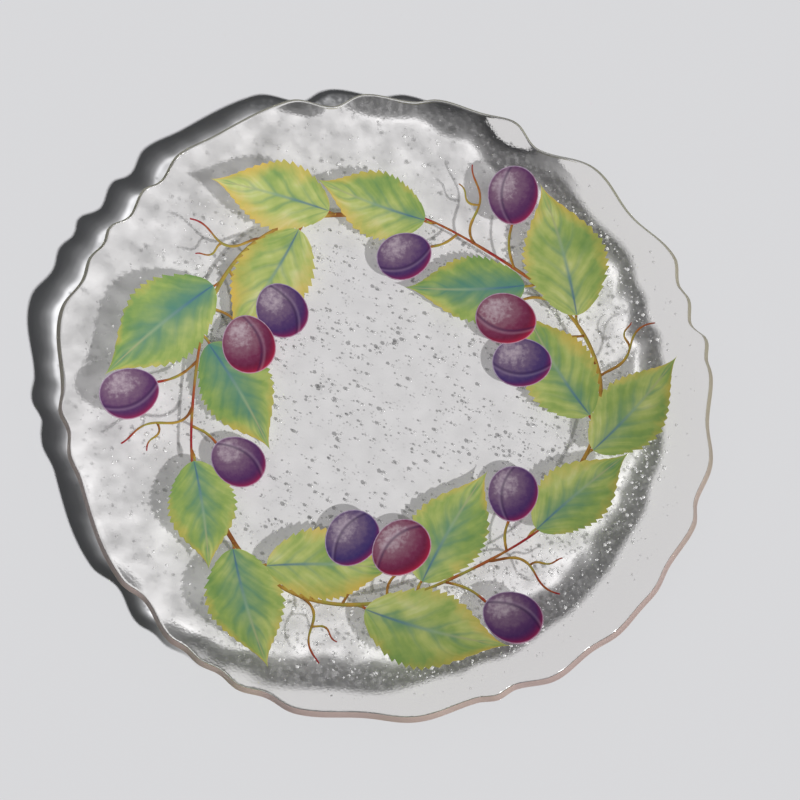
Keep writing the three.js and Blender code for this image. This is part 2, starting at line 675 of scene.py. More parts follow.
@dataclass(frozen=True)
class LeafEnamel(Enamel):
    """Leaf paint: broad soft strokes from the midrib to the margin, cool near the stalk, ochre at the tip."""

    name: str = "glass_enamel_leaf_green"
    side_veins: float = 6.0
    vein_lean: float = 1.9
    vein_sway: float = 0.5
    vein_colour: str = "#4b7b74"
    vein_width: float = 0.22
    vein_cover: float = 0.36
    vein_fade: tuple[float, float] = (0.1, 0.75)
    rib_width: float = 0.07
    rib_cover: float = 0.8
    stroke_stretch: tuple[float, float, float] = (2.6, 1.1, 40.0)
    stroke_lift: float = 0.6
    panel_lift: float = 0.2
    blotch_lift: float = 1.2
    half_lift: float = 0.14
    tone_lift: float = 0.3
    green_span: tuple[float, float] = (0.7, 1.65)
    wobble_length: float = 9 * MM
    blotch_length: float = 13 * MM

    def colour(self, tree: Tree) -> Socket:
        """Gives the leaf's painted colour, one wash over another.

        Args:
            tree: the material's node tree.

        Returns:
            The output that holds the colour.
        """
        chart = self.chart(tree)
        colour = self.green(tree, chart)
        for wash in (COOL_WASH, OCHRE_WASH):
            colour = self.lay_wash(tree, chart, colour, wash)
        return self.ribs(tree, chart, colour)

    def chart(self, tree: Tree) -> LeafChart:
        """Reads the leaf's own map and sets out its side veins, which lean and sway.

        Args:
            tree: the material's node tree.

        Returns:
            The outputs that the washes are drawn from.
        """
        place = add_node(tree, "TexCoord", output="Object")
        flat = add_node(tree, "UVMap", uv_map="UVMap")
        along = add_node(tree, "SeparateXYZ", {"Vector": flat}, output="X")
        side = add_node(tree, "SeparateXYZ", {"Vector": flat}, output="Y")
        across = add_node(tree, "Math", {0: side, 1: 2.0, 2: -1.0}, operation="MULTIPLY_ADD")
        off_rib = add_node(tree, "Math", {0: across}, operation="ABSOLUTE")
        wobble = add_node(tree, "TexNoise", {"Vector": place, "Scale": 1 / self.wobble_length, "Detail": 1.0})
        sway = add_node(tree, "Math", {0: wobble, 1: self.vein_sway}, operation="MULTIPLY")
        veins = weigh(tree, sway, (off_rib, -self.vein_lean), (along, self.side_veins))
        to_vein = add_node(tree, "Math", {0: veins, 1: 0.5}, operation="PINGPONG")
        tone = add_node(tree, "Attribute", output="Fac", attribute_name="tone")
        blotch = add_node(tree, "TexNoise", {"Vector": place, "Scale": 1 / self.blotch_length, "Detail": 3.0})
        return LeafChart(along, across, off_rib, to_vein, veins, tone, blotch)

    def green(self, tree: Tree, chart: LeafChart) -> Socket:
        """Gives the ground colour: strokes along the side veins, lighter between them and on one half.

        Args:
            tree: the material's node tree.
            chart: what the leaf's washes are drawn from.

        Returns:
            The output that holds the colour.
        """
        at = add_node(tree, "CombineXYZ", {"X": chart.veins, "Y": chart.off_rib, "Z": chart.tone})
        stretched = add_node(tree, "VectorMath", {0: at, 1: self.stroke_stretch}, operation="MULTIPLY")
        strokes = add_node(tree, "TexNoise", {"Vector": stretched, "Scale": 1.0, "Detail": 4.0})
        soft = add_node(tree, "Math", {0: strokes, 1: self.stroke_lift}, operation="MULTIPLY")
        light = weigh(
            tree,
            soft,
            (chart.to_vein, self.panel_lift),
            (chart.blotch, self.blotch_lift),
            (chart.across, self.half_lift),
            (chart.tone, self.tone_lift),
        )
        dark, pale = self.green_span
        share = add_node(tree, "MapRange", {"Value": light, "From Min": dark, "From Max": pale})
        return add_node(tree, "ValToRGB", {"Fac": share}, stops=LEAF_GREENS)

    def lay_wash(self, tree: Tree, chart: LeafChart, ground: Socket, wash: Wash) -> Socket:
        """Lays one wash over the colours below it.

        Args:
            tree: the material's node tree.
            chart: what the leaf's washes are drawn from.
            ground: the colours below.
            wash: the wash's colour, and where it lies.

        Returns:
            The output that holds the colours with the wash.
        """
        parts = ((chart.along, wash.along), (chart.tone, wash.tone), (chart.blotch, wash.blotch))
        share = add_node(
            tree,
            "MapRange",
            {
                "Value": weigh(tree, chart.off_rib, *parts),
                "From Min": wash.depths[0],
                "From Max": wash.depths[1],
                "To Min": wash.cover[0],
                "To Max": wash.cover[1],
            },
        )
        return add_node(tree, "Mix", {"Factor": share, "A": ground, "B": wash.colour}, data_type="RGBA")

    def ribs(self, tree: Tree, chart: LeafChart, ground: Socket) -> Socket:
        """Draws the side veins, which fade towards the margin, and the midrib.

        Args:
            tree: the material's node tree.
            chart: what the leaf's washes are drawn from.
            ground: the colours below.

        Returns:
            The output that holds the colours with the veins.
        """
        line = add_node(
            tree,
            "MapRange",
            {"Value": chart.to_vein, "From Max": self.vein_width, "To Min": self.vein_cover, "To Max": 0.0},
        )
        near, far = self.vein_fade
        fade = add_node(
            tree,
            "MapRange",
            {"Value": chart.off_rib, "From Min": near, "From Max": far, "To Min": 1.0, "To Max": 0.0},
        )
        share = add_node(tree, "Math", {0: line, 1: fade}, operation="MULTIPLY")
        veined = {"Factor": share, "A": ground, "B": self.vein_colour}
        rib_share = add_node(
            tree,
            "MapRange",
            {"Value": chart.off_rib, "From Max": self.rib_width, "To Min": self.rib_cover, "To Max": 0.0},
        )
        ribbed = {
            "Factor": rib_share,
            "A": add_node(tree, "Mix", veined, data_type="RGBA"),
            "B": add_node(tree, "ValToRGB", {"Fac": chart.along}, stops=MIDRIB_COLOURS),
        }
        return add_node(tree, "Mix", ribbed, data_type="RGBA")


BLUE_PLUM = ((0.0, "#17174c"), (0.28, "#2a2660"), (0.54, "#423666"), (0.8, "#655572"), (1.0, "#a99ba6"))
RED_PLUM = ((0.0, "#3f091d"), (0.28, "#64122e"), (0.54, "#702844"), (0.8, "#825564"), (1.0, "#b3a0a7"))


@dataclass(frozen=True)
class PlumEnamel(Enamel):
    """Fruit paint: a round form with a dusty bloom on its lit side and warm light along its far rim."""

    name: str = "glass_enamel_plum_violet"
    bloom_length: float = 1.9 * MM
    bloom_roughness: float = 0.62
    bloom_weight: float = 0.6
    light_span: tuple[float, float] = (0.08, 1.38)
    rim_ring: tuple[float, float] = (0.55, 0.95)
    far_side: tuple[float, float] = (0.3, -0.35)
    lit_from: tuple[float, float, float] = (-0.36, 0.42, 0.83)
    blue_rim: str = "#7d2358"
    red_rim: str = "#b0213f"
    lip_colour: str = "#b9a6bd"
    lip_place: float = 0.1
    lip_width: float = 0.09
    lip_cover: float = 0.16
    crease_colour: str = "#2c1640"
    crease_widths: tuple[float, float] = (0.015, 0.085)
    outline_colour: str = "#c9b8cc"
    outline_from: tuple[float, float] = (0.955, 0.985)

    def colour(self, tree: Tree) -> Socket:
        """Gives the plum's painted colour from its own map, a disc whose middle is the fruit's.

        Args:
            tree: the material's node tree.

        Returns:
            The output that holds the colour.
        """
        place = add_node(tree, "TexCoord", output="Object")
        bloom = add_node(
            tree,
            "TexNoise",
            {
                "Vector": place,
                "Scale": 1 / self.bloom_length,
                "Detail": 6.0,
                "Roughness": self.bloom_roughness,
            },
        )
        ripeness = add_node(tree, "Attribute", output="Fac", attribute_name="tone")
        flat = add_node(tree, "UVMap", uv_map="UVMap")
        disc = add_node(
            tree,
            "VectorMath",
            {0: flat, 1: (2.0, 2.0, 0.0), 2: (-1.0, -1.0, 0.0)},
            operation="MULTIPLY_ADD",
        )
        off_middle = add_node(tree, "VectorMath", {0: disc}, operation="LENGTH")
        lit = self.lit_form(tree, disc, off_middle)
        body = self.body(tree, lit, bloom, ripeness)
        warmed = self.far_rim(tree, body, lit, off_middle, ripeness)
        creased = self.crease(tree, warmed, bloom)
        start, end = self.outline_from
        outline = add_node(tree, "MapRange", {"Value": off_middle, "From Min": start, "From Max": end})
        share = add_node(tree, "Math", {0: outline, 1: bloom}, operation="MULTIPLY")
        edged = {"Factor": share, "A": creased, "B": self.outline_colour}
        return add_node(tree, "Mix", edged, data_type="RGBA")

    def lit_form(self, tree: Tree, disc: Socket, off_middle: Socket) -> Socket:
        """Gives how far the surface of a ball, seen as the disc, turns towards its light.

        Args:
            tree: the material's node tree.
            disc: the point on the disc, from -1 to 1 each way.
            off_middle: the way from the disc's middle, 1 at its edge.

        Returns:
            The output that holds the cosine to the light.
        """
        squared = add_node(tree, "Math", {0: off_middle, 1: off_middle}, operation="MULTIPLY")
        left = add_node(tree, "Math", {0: 1.0, 1: squared}, operation="SUBTRACT", use_clamp=True)
        form = add_node(
            tree,
            "CombineXYZ",
            {
                "X": add_node(tree, "SeparateXYZ", {"Vector": disc}, output="X"),
                "Y": add_node(tree, "SeparateXYZ", {"Vector": disc}, output="Y"),
                "Z": add_node(tree, "Math", {0: left}, operation="SQRT"),
            },
        )
        return add_node(tree, "VectorMath", {0: form, 1: self.lit_from}, operation="DOT_PRODUCT")

    def body(self, tree: Tree, lit: Socket, bloom: Socket, ripeness: Socket) -> Socket:
        """Gives the fruit's colour from dark to lit, patchy with bloom, and from blue to red as it ripens.

        Args:
            tree: the material's node tree.
            lit: how far the painted ball turns towards its light.
            bloom: the patches of dust.
            ripeness: from blue, 0, to red, 1.

        Returns:
            The output that holds the colour.
        """
        patchy = weigh(tree, lit, (bloom, self.bloom_weight))
        dark, pale = self.light_span
        share = add_node(tree, "MapRange", {"Value": patchy, "From Min": dark, "From Max": pale})
        ripening = {
            "Factor": ripeness,
            "A": add_node(tree, "ValToRGB", {"Fac": share}, stops=BLUE_PLUM),
            "B": add_node(tree, "ValToRGB", {"Fac": share}, stops=RED_PLUM),
        }
        return add_node(tree, "Mix", ripening, data_type="RGBA")

    def far_rim(
        self, tree: Tree, ground: Socket, lit: Socket, off_middle: Socket, ripeness: Socket
    ) -> Socket:
        """Lays warm light along the rim on the side away from the light.

        Args:
            tree: the material's node tree.
            ground: the colours below.
            lit: how far the painted ball turns towards its light.
            off_middle: the way from the disc's middle, 1 at its edge.
            ripeness: from blue, 0, to red, 1.

        Returns:
            The output that holds the colours with the rim.
        """
        inner, outer = self.rim_ring
        ring = add_node(tree, "MapRange", {"Value": off_middle, "From Min": inner, "From Max": outer})
        turning, turned = self.far_side
        far_side = add_node(tree, "MapRange", {"Value": lit, "From Min": turning, "From Max": turned})
        rims = {"Factor": ripeness, "A": self.blue_rim, "B": self.red_rim}
        warmed = {
            "Factor": add_node(tree, "Math", {0: ring, 1: far_side}, operation="MULTIPLY"),
            "A": ground,
            "B": add_node(tree, "Mix", rims, data_type="RGBA"),
        }
        return add_node(tree, "Mix", warmed, data_type="RGBA")

    def crease(self, tree: Tree, ground: Socket, bloom: Socket) -> Socket:
        """Draws the crease as an uneven dark line, with a pale lip on one side.

        Args:
            tree: the material's node tree.
            ground: the colours below.
            bloom: the patches of dust.

        Returns:
            The output that holds the colours with the crease.
        """
        crease = add_node(tree, "Attribute", output="Fac", attribute_name="crease")
        to_lip = add_node(tree, "Math", {0: crease, 1: self.lip_place}, operation="SUBTRACT")
        off_lip = add_node(tree, "Math", {0: to_lip}, operation="ABSOLUTE")
        lip = {"Value": off_lip, "From Max": self.lip_width, "To Min": self.lip_cover, "To Max": 0.0}
        lipped = {"Factor": add_node(tree, "MapRange", lip), "A": ground, "B": self.lip_colour}
        narrow, wide = self.crease_widths
        line = add_node(
            tree,
            "MapRange",
            {
                "Value": add_node(tree, "Math", {0: crease}, operation="ABSOLUTE"),
                "From Min": narrow,
                "From Max": wide,
                "To Min": 1.0,
                "To Max": 0.0,
            },
        )
        creased = {
            "Factor": add_node(tree, "Math", {0: line, 1: bloom}, operation="MULTIPLY"),
            "A": add_node(tree, "Mix", lipped, data_type="RGBA"),
            "B": self.crease_colour,
        }
        return add_node(tree, "Mix", creased, data_type="RGBA")


TWIG_COLOURS = ((0.0, "#7d4b22"), (0.3, "#a8883a"), (0.55, "#8f8a3e"), (0.78, "#9a5a2c"), (1.0, "#93242c"))


@dataclass(frozen=True)
class TwigEnamel(Enamel):
    """Twig paint: one long stroke that runs from ochre through olive to red-brown, darker on one side."""

    name: str = "glass_enamel_twig_ochre"
    change_length: float = 9 * MM
    change_reach: float = 1.3
    dark_side: str = "#4a2415"
    dark_span: tuple[float, float] = (0.05, 0.45)
    dark_cover: float = 0.45

    def colour(self, tree: Tree) -> Socket:
        """Gives the twig's painted colour along its stroke.

        Args:
            tree: the material's node tree.

        Returns:
            The output that holds the colour.
        """
        place = add_node(tree, "TexCoord", output="Object")
        flat = add_node(tree, "UVMap", uv_map="UVMap")
        along = add_node(tree, "SeparateXYZ", {"Vector": flat}, output="X")
        across = add_node(tree, "SeparateXYZ", {"Vector": flat}, output="Y")
        change = add_node(tree, "TexNoise", {"Vector": place, "Scale": 1 / self.change_length, "Detail": 3.0})
        swing = {0: change, 1: self.change_reach, 2: -self.change_reach / 2}
        drift = add_node(tree, "Math", swing, operation="MULTIPLY_ADD")
        drifted = add_node(tree, "Math", {0: along, 1: drift}, operation="ADD", use_clamp=True)
        start, end = self.dark_span
        shaded = add_node(
            tree,
            "MapRange",
            {"Value": across, "From Min": start, "From Max": end, "To Min": self.dark_cover, "To Max": 0.0},
        )
        stroke = add_node(tree, "ValToRGB", {"Fac": drifted}, stops=TWIG_COLOURS)
        return add_node(tree, "Mix", {"Factor": shaded, "A": stroke, "B": self.dark_side}, data_type="RGBA")


@dataclass
class CutOutline:
    """The plate's cut outline, read from the CAD plate."""

    angles: np.ndarray
    radii: np.ndarray

    @classmethod
    def read(cls, node: bpy.types.Object, inner_share: float = 0.9, steps_a_degree: int = 4) -> "CutOutline":
        """Reads the outermost point of the CAD plate at each of its angles.

        Args:
            node: the CAD plate.
            inner_share: points nearer the middle than this share of the largest radius are left out.
            steps_a_degree: points in the same fraction of a degree count as one angle.

        Returns:
            The outline, in order of angle.
        """
        points = read_points(node.data)
        radii = np.hypot(points[:, 0], points[:, 1])
        angles = np.arctan2(points[:, 1], points[:, 0]) % FULL_TURN
        outer = radii > inner_share * radii.max()
        keys = np.round(np.degrees(angles[outer]) * steps_a_degree).astype(int) % (360 * steps_a_degree)
        furthest: dict[int, float] = {}
        for key, radius in zip(keys.tolist(), radii[outer].tolist()):
            furthest[key] = max(radius, furthest.get(key, 0.0))
        order = sorted(furthest)
        return cls(np.radians(np.array(order) / steps_a_degree), np.array([furthest[key] for key in order]))

    def radius_at(self, angles: np.ndarray) -> np.ndarray:
        """Gives the outline's radius at any angles, on a smooth curve through its evenly spaced points.

        Args:
            angles: the angles, in radians.

        Returns:
            The radius at each angle.
        """
        count = len(self.radii)
        place = ((angles - self.angles[0]) % FULL_TURN) / FULL_TURN * count
        first = np.floor(place).astype(int)
        t = place - first
        before, start, end, after = (self.radii[(first + i) % count] for i in (-1, 0, 1, 2))
        bend = 2 * before - 5 * start + 4 * end - after
        twist = 3 * start - 3 * end + after - before
        return start + 0.5 * ((end - before) * t + bend * t**2 + twist * t**3)


@dataclass
class GlassPlate:
    """The slumped sheet of glass: the CAD plate's own sizes down to corner, with finer facets and ripples."""

    outline: CutOutline
    radius: float = 135 * MM
    thickness: float = 5.4 * MM
    edge_thickness: float = 4.8 * MM
    foot_radius: float = 44 * MM
    rim_lift: float = 17 * MM
    dish_power: float = 2.2
    edge_lean: float = 1.7 * MM
    corner: float = 1.1 * MM
    segments: int = 480
    foot_rings: int = 5
    slope_rings: int = 24
    corner_steps: int = 4
    ripple_length: float = 30 * MM
    ripple_height: float = 0.30 * MM
    ripple_onset: float = 4.0
    side_shade: float = 0.8
    side_change: float = 4.0

    @property
    def slope_end(self) -> float:
        """Radius where the faces of the flat sheet end and the corners of the cut face begin."""
        return self.radius - self.edge_lean - self.corner

    def slope_share(self, radius: np.ndarray) -> np.ndarray:
        """Gives the share of the way from the foot's edge, 0, to the mean radius, 1."""
        return np.maximum(0.0, radius - self.foot_radius) / (self.radius - self.foot_radius)

    def dish_height(self, radius: np.ndarray) -> np.ndarray:
        """Gives the height of the underside at a radius."""
        return self.rim_lift * self.slope_share(radius) ** self.dish_power

    def sheet_thickness(self, radius: np.ndarray) -> np.ndarray:
        """Gives the thickness of the sheet at a radius, measured upwards."""
        share = np.minimum(1.0, self.slope_share(radius))
        return self.thickness + (self.edge_thickness - self.thickness) * share

    def section(self) -> list[Vector]:
        """Gives the flat sheet's section in the XZ plane, from under its middle round to over it.

        Returns:
            The points of the section, in order.
        """
        foot = np.linspace(0.0, self.foot_radius, self.foot_rings + 1)
        slope = np.linspace(self.foot_radius, self.slope_end, self.slope_rings + 1)[1:]
        radii = np.concatenate([foot, slope])
        heights = self.sheet_thickness(radii)
        quarter = np.linspace(0.0, math.pi / 2, self.corner_steps + 1)
        lower_middle = Vector((self.radius - self.corner, 0.0, self.corner))
        upper_middle = Vector((self.slope_end, 0.0, self.edge_thickness - self.corner))
        points = [Vector((r, 0.0, 0.0)) for r in radii]
        for turn in quarter:
            points.append(lower_middle + self.corner * Vector((math.sin(turn), 0.0, -math.cos(turn))))
        for turn in quarter[:-1]:
            points.append(upper_middle + self.corner * Vector((math.cos(turn), 0.0, math.sin(turn))))
        points += [Vector((r, 0.0, h)) for r, h in zip(radii[::-1], heights[::-1])]
        return points

    def turn_sheet(self) -> bpy.types.Object:
        """Draws the section vertex by vertex and spins it into a flat round sheet.

        Returns:
            The sheet, closed and with its faces pointing outwards.
        """
        points = self.section()
        bpy.ops.object.select_all(action="DESELECT")
        bpy.ops.mesh.primitive_plane_add(size=self.thickness)
        sheet = bpy.context.active_object
        bpy.ops.object.mode_set(mode="EDIT")
        bpy.ops.mesh.select_all(action="SELECT")
        bpy.ops.mesh.merge(type="CENTER")
        for start, end in zip(points, points[1:]):
            bpy.ops.mesh.extrude_region_move(TRANSFORM_OT_translate={"value": end - start})
        bpy.ops.mesh.select_all(action="SELECT")
        bpy.ops.mesh.spin(steps=self.segments, angle=FULL_TURN, center=(0, 0, 0), axis=(0, 0, 1))
        bpy.ops.mesh.select_all(action="SELECT")
        bpy.ops.mesh.remove_doubles(threshold=TOUCH / 2)
        bpy.ops.mesh.normals_make_consistent(inside=False)
        bpy.ops.object.mode_set(mode="OBJECT")
        return sheet

    def slump(self, sheet: bpy.types.Object) -> None:
        """Stretches the flat sheet out to its waves, bends it up into the dish and marks its faces.

        Args:
            sheet: the flat round sheet.
        """
        mesh = sheet.data
        points = read_points(mesh)
        flat = np.hypot(points[:, 0], points[:, 1])
        angles = np.arctan2(points[:, 1], points[:, 0])
        edge = self.outline.radius_at(angles)
        radius = flat + (edge - self.radius) * self.slope_share(flat) ** 2
        height = points[:, 2] + self.dish_height(radius)
        write_points(mesh, np.column_stack([radius * np.cos(angles), radius * np.sin(angles), height]))
        low = points[:, 2] < self.edge_thickness / 2
        self.mark_light(mesh, angles, edge - radius, flat, low)
        self.mark_faces(mesh, flat, points[:, 2])
        soft = sheet.vertex_groups.new(name=SOFT_GROUP)
        weights = np.where(low, np.minimum(1.0, self.ripple_onset * self.slope_share(radius)), 1.0)
        for index, weight in enumerate(weights.tolist()):
            soft.add([index], weight, "REPLACE")

    def mark_light(
        self, mesh: bpy.types.Mesh, angles: np.ndarray, inward: np.ndarray, flat: np.ndarray, low: np.ndarray
    ) -> None:
        """Stores how each vertex of the sheet passes lamp light on.

        Args:
            mesh: the slumped sheet.
            angles: each vertex's angle round the plate, in radians.
            inward: its way in from the cut edge.
            flat: its radius on the flat sheet.
            low: whether it is in the lower half of the sheet.
        """
        degrees = np.degrees(angles)
        stations = [station.angle for station in SHADE_STATIONS]
        widths = [station.width for station in SHADE_STATIONS]
        leaks = [station.leak for station in SHADE_STATIONS]
        towards_key = np.cos(angles - math.radians(KEY_ANGLE))
        side_shade = np.clip(self.side_shade - self.side_change * towards_key, 0.0, 1.0)
        write_attribute(mesh, "shade_depth", inward / np.interp(degrees, stations, widths, period=360))
        write_attribute(mesh, "least_light", np.interp(degrees, stations, leaks, period=360))
        write_attribute(mesh, "shades", np.where(flat > self.slope_end, side_shade, low))
        write_attribute(mesh, "underside", low & (flat <= self.slope_end + self.corner))

    def mark_faces(self, mesh: bpy.types.Mesh, flat: np.ndarray, level: np.ndarray) -> None:
        """Gives the cut face and its upper corner their own glass.

        Args:
            mesh: the slumped sheet.
            flat: each vertex's radius on the flat sheet.
            level: its height above the underside of the flat sheet.
        """
        under_corner = level < self.edge_thickness - self.corner / 2
        on_cut = (flat > self.slope_end + self.corner / 2) & under_corner
        on_corner = (flat > self.slope_end - TOUCH) & (level > self.edge_thickness - self.corner)
        for polygon in mesh.polygons:
            corners = list(polygon.vertices)
            if on_cut[corners].all():
                polygon.material_index = PlateFace.CUT_EDGE.value
            elif on_corner[corners].all():
                polygon.material_index = PlateFace.CORNER.value

    def ripple(self, sheet: bpy.types.Object) -> None:
        """Gives the slumped sheet the slow ripples that hot glass keeps, but not its foot.

        Args:
            sheet: the slumped sheet.
        """
        clouds = bpy.data.textures.new("slow_ripples", "CLOUDS")
        clouds.noise_scale = self.ripple_length
        clouds.noise_depth = 1
        waves = sheet.modifiers.new("ripples", "DISPLACE")
        waves.texture = clouds
        waves.texture_coords = "LOCAL"
        waves.direction = "Z"
        waves.mid_level = 0.5
        waves.strength = self.ripple_height
        waves.vertex_group = SOFT_GROUP
        apply_modifiers(sheet)

    def build(self) -> bpy.types.Object:
        """Makes the whole sheet.

        Returns:
            The plate without its seeds.
        """
        sheet = self.turn_sheet()
        sheet.name = sheet.data.name = "seeded_glass_plate"
        self.slump(sheet)
        self.ripple(sheet)
        select_only(sheet)
        bpy.ops.object.shade_smooth()
        for finish in (SheetGlass(), CutEdgeGlass(), CornerGlass(), SeedWallGlass(), ClearSeedGlass()):
            sheet.data.materials.append(finish.make())
        return sheet


@dataclass(frozen=True)
class SeedGroup:
    """Seeds of one kind: their wall, the ring of the plate that they lie in, their number and sizes, and the
    share of them that is kept on the side away from the key light."""

    wall: PlateFace
    ring: tuple[float, float]
    count: int
    sizes: tuple[float, float]
    sides: int
    rings: int
    random_seed: int
    far_share: float = 1.0


SLOPE_START = 82 * MM  # seeds further out than this lie over the rim's shade
SLOPE_END = 119 * MM  # and those beyond this over lit ground again
SEED_REACH = 129 * MM
SEED_GROUPS = (
    SeedGroup(PlateFace.CLEAR_SEED, (0.0, SLOPE_START), 800, (0.8 * MM, 1.8 * MM), 5, 4, 41),
    SeedGroup(PlateFace.CLEAR_SEED, (0.0, SLOPE_START), 1500, (0.4 * MM, 0.8 * MM), 4, 3, 57),
    SeedGroup(PlateFace.MILKY_SEED, (SLOPE_START, SLOPE_END), 1000, (0.8 * MM, 2.0 * MM), 5, 4, 43, 0.3),
    SeedGroup(PlateFace.MILKY_SEED, (SLOPE_START, SLOPE_END), 2050, (0.4 * MM, 0.8 * MM), 4, 3, 59, 0.3),
    SeedGroup(PlateFace.CLEAR_SEED, (SLOPE_END, SEED_REACH), 300, (0.5 * MM, 1.4 * MM), 4, 3, 61),
)


@dataclass
class Seeds:
    """Bubbles in the glass, drawn at random: most are small, and most lie low in the sheet."""

    plate: GlassPlate
    materials: list[bpy.types.Material]
    group: SeedGroup
    clear_of_faces: float = 0.2 * MM
    clear_of_edge: float = 6 * MM
    smallness: float = 2.5
    lowness: float = 4.0
    flatness: tuple[float, float] = (0.6, 0.95)
    stretch: tuple[float, float] = (1.0, 1.3)

    def model_one(self) -> bpy.types.Object:
        """Models one bubble a unit across, its faces pointing into it, which is out of the glass.

        Returns:
            The bubble.
        """
        bpy.ops.object.select_all(action="DESELECT")
        bpy.ops.mesh.primitive_uv_sphere_add(
            segments=self.group.sides, ring_count=self.group.rings, radius=0.5
        )
        bubble = bpy.context.active_object
        bpy.ops.object.shade_smooth()
        bpy.ops.object.mode_set(mode="EDIT")
        bpy.ops.mesh.select_all(action="SELECT")
        bpy.ops.mesh.flip_normals()
        bpy.ops.object.mode_set(mode="OBJECT")
        for material in self.materials:
            bubble.data.materials.append(material)
        for polygon in bubble.data.polygons:
            polygon.material_index = self.group.wall.value
        return bubble

    def places(self) -> list[Matrix]:
        """Draws a place, a size and a flattened form for each seed.

        Returns:
            A matrix for each seed, which turns the unit bubble into it.
        """
        draw = random.Random(self.group.random_seed)
        nearest, furthest = self.group.ring
        smallest, largest = self.group.sizes
        found: list[Matrix] = []
        while len(found) < self.group.count:
            radius = math.sqrt(draw.uniform(nearest**2, furthest**2))
            angle = draw.uniform(0.0, FULL_TURN)
            size = smallest + (largest - smallest) * draw.random() ** self.smallness
            flatness = draw.uniform(*self.flatness)
            stretch = draw.uniform(*self.stretch)
            rise = draw.random() ** self.lowness
            edge = float(self.plate.outline.radius_at(np.array([angle]))[0])
            if radius > edge - self.clear_of_edge:
                continue
            far_side = math.cos(angle - math.radians(KEY_ANGLE)) < 0
            if far_side and draw.random() > self.group.far_share:
                continue
            bottom = float(self.plate.dish_height(np.array(radius)))
            room = float(self.plate.sheet_thickness(np.array(radius))) - 2 * self.clear_of_faces - size
            height = bottom + self.clear_of_faces + size / 2 + rise * room
            place = Matrix.Translation((radius * math.cos(angle), radius * math.sin(angle), height))
            turn = Matrix.Rotation(draw.uniform(0.0, FULL_TURN), 4, "Z")
            form = Matrix.Diagonal((size * stretch, size, size * flatness, 1.0))
            found.append(place @ turn @ form)
        return found

    def build(self) -> bpy.types.Object:
        """Copies the bubble to all its places.

        Returns:
            All the seeds as one object.
        """
        model = self.model_one()
        copies = []
        for place in self.places():
            mesh = model.data.copy()
            mesh.transform(place)
            copy = bpy.data.objects.new("seed", mesh)
            bpy.context.scene.collection.objects.link(copy)
            copies.append(copy)
        bpy.data.objects.remove(model)
        return join_pieces("seeds", copies)


@dataclass(frozen=True)
class TwigPath:
    """The line that a sprig's twig follows round the plate, in a shallow S."""

    start: float
    span: float = math.radians(102)
    ring: float = 85 * MM
    swing: float = 5 * MM

    def point(self, share: float) -> Vector:
        """Gives the point at a share of the way along, seen from above.

        Args:
            share: 0 at the twig's start and 1 at its end.

        Returns:
            The point's x and y.
        """
        angle = self.start + self.span * share
        radius = self.ring + self.swing * math.sin(FULL_TURN * share)
        return Vector((radius * math.cos(angle), radius * math.sin(angle)))

    def heading(self, share: float, step: float = 0.01) -> float:
        """Gives the direction of travel at a share of the way along, as an angle from +X."""
        ahead = self.point(share + step) - self.point(share - step)
        return math.atan2(ahead.y, ahead.x)


@dataclass(frozen=True)
class LeafPlace:
    """A leaf: its share along the twig, its turn in degrees towards the plate's middle, its length, and how
    far its tip bends aside as a share of that length."""

    share: float
    turn: float
    length: float
    bend: float


@dataclass(frozen=True)
class PlumPlace:
    """A plum: its stalk's share along the twig, its middle as a radius and as degrees from the twig's start,
    its length, and its ripeness from blue, 0, to red, 1."""

    share: float
    radius: float
    angle: float
    length: float
    ripeness: float


@dataclass(frozen=True)
class SpurPlace:
    """A bare side twig: its share along the twig, its turn in degrees towards the middle, and its length."""

    share: float
    turn: float
    length: float


LEAF_PLACES = (
    LeafPlace(0.03, -20, 53 * MM, 0.10),
    LeafPlace(0.13, 50, 55 * MM, -0.12),
    LeafPlace(0.41, -24, 58 * MM, 0.12),
    LeafPlace(0.58, 46, 52 * MM, -0.10),
    LeafPlace(0.93, 10, 50 * MM, -0.08),
)
PLUM_PLACES = (
    PlumPlace(0.30, 60 * MM, 37, 25 * MM, 0.10),
    PlumPlace(0.38, 63 * MM, 56, 26 * MM, 0.85),
    PlumPlace(0.66, 106 * MM, 79, 25 * MM, 0.45),
    PlumPlace(0.86, 66 * MM, 103, 24 * MM, 0.25),
)
SPUR_PLACES = (SpurPlace(0.26, -38, 34 * MM), SpurPlace(0.80, -44, 36 * MM), SpurPlace(0.50, 62, 40 * MM))


